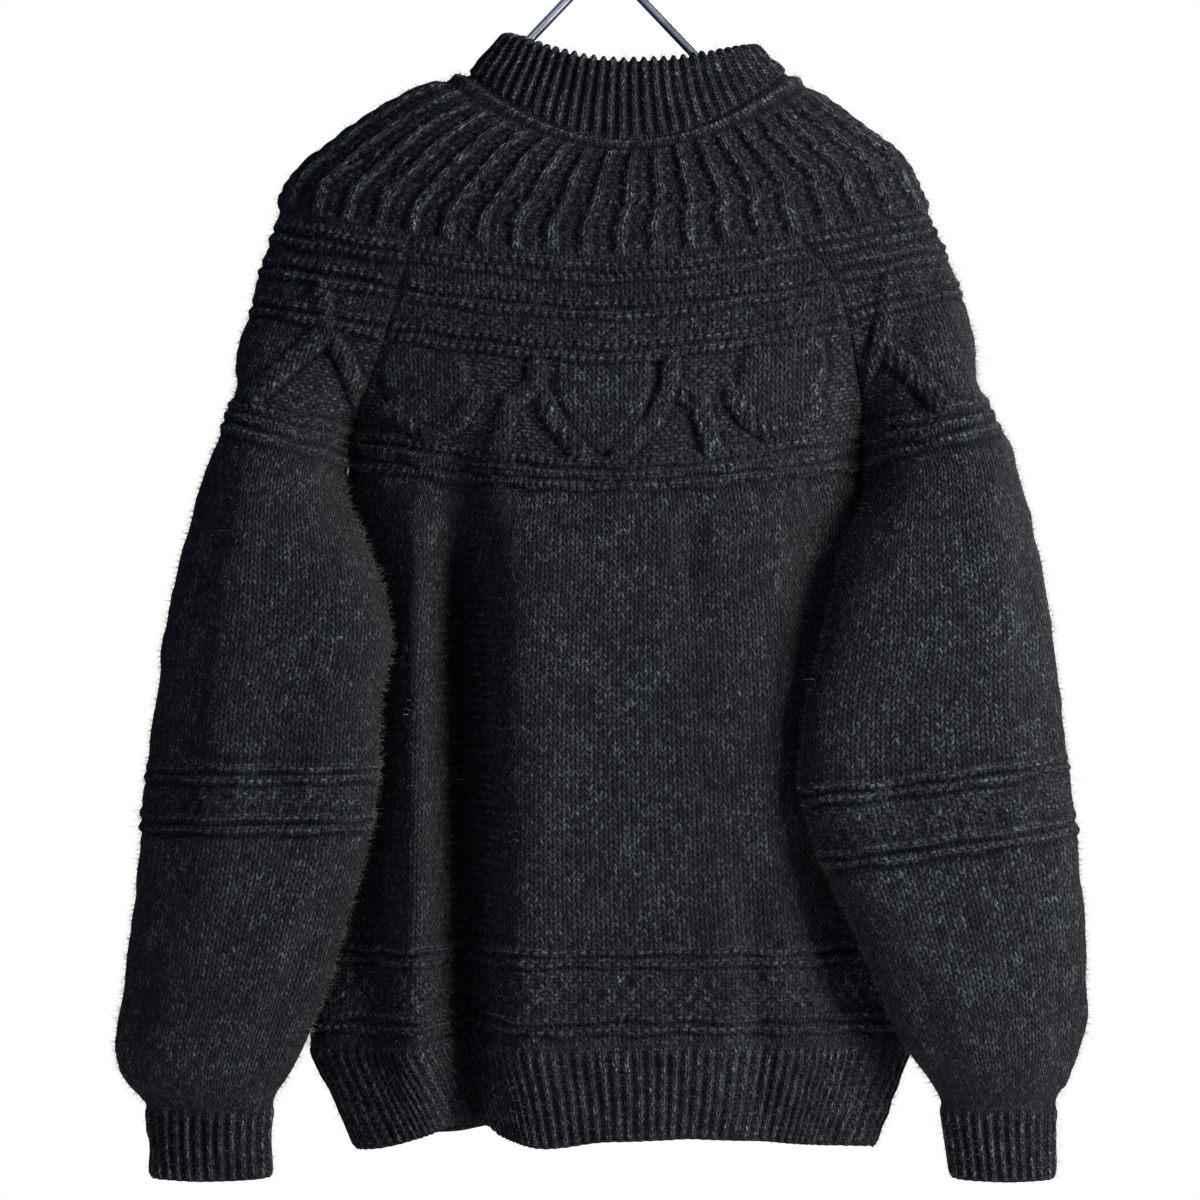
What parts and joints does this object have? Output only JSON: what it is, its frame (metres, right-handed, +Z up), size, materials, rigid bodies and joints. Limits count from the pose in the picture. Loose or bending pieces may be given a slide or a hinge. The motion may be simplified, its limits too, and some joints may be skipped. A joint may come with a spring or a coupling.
{
  "type": "aran sweater on a hanger",
  "caption": "Charcoal hand-knitted aran sweater with a ribbed round yoke, cables, ridges and a mock neck, hanging hollow on a bent steel rod hanger.",
  "frame": {"origin": "highest point inside the hanger's hook, where it rests on a rail", "axes": "+Z up, +X to the right as seen from the front, +Y from the front to the back"},
  "size_m": [0.6102, 0.163, 0.833],
  "materials": {
    "charcoal_wool": "matte heathered wool",
    "charcoal_rib": "matte ribbed wool",
    "bright_steel": "satin"
  },
  "bodies": {
    "root": {"collar": "charcoal_rib", "yoke": "charcoal_wool", "front": "charcoal_wool", "back": "charcoal_wool", "sleeve_left": "charcoal_wool", "sleeve_right": "charcoal_wool", "hanger_rod": "bright_steel", "hanger_hook": "bright_steel"}
  },
  "joints": []
}
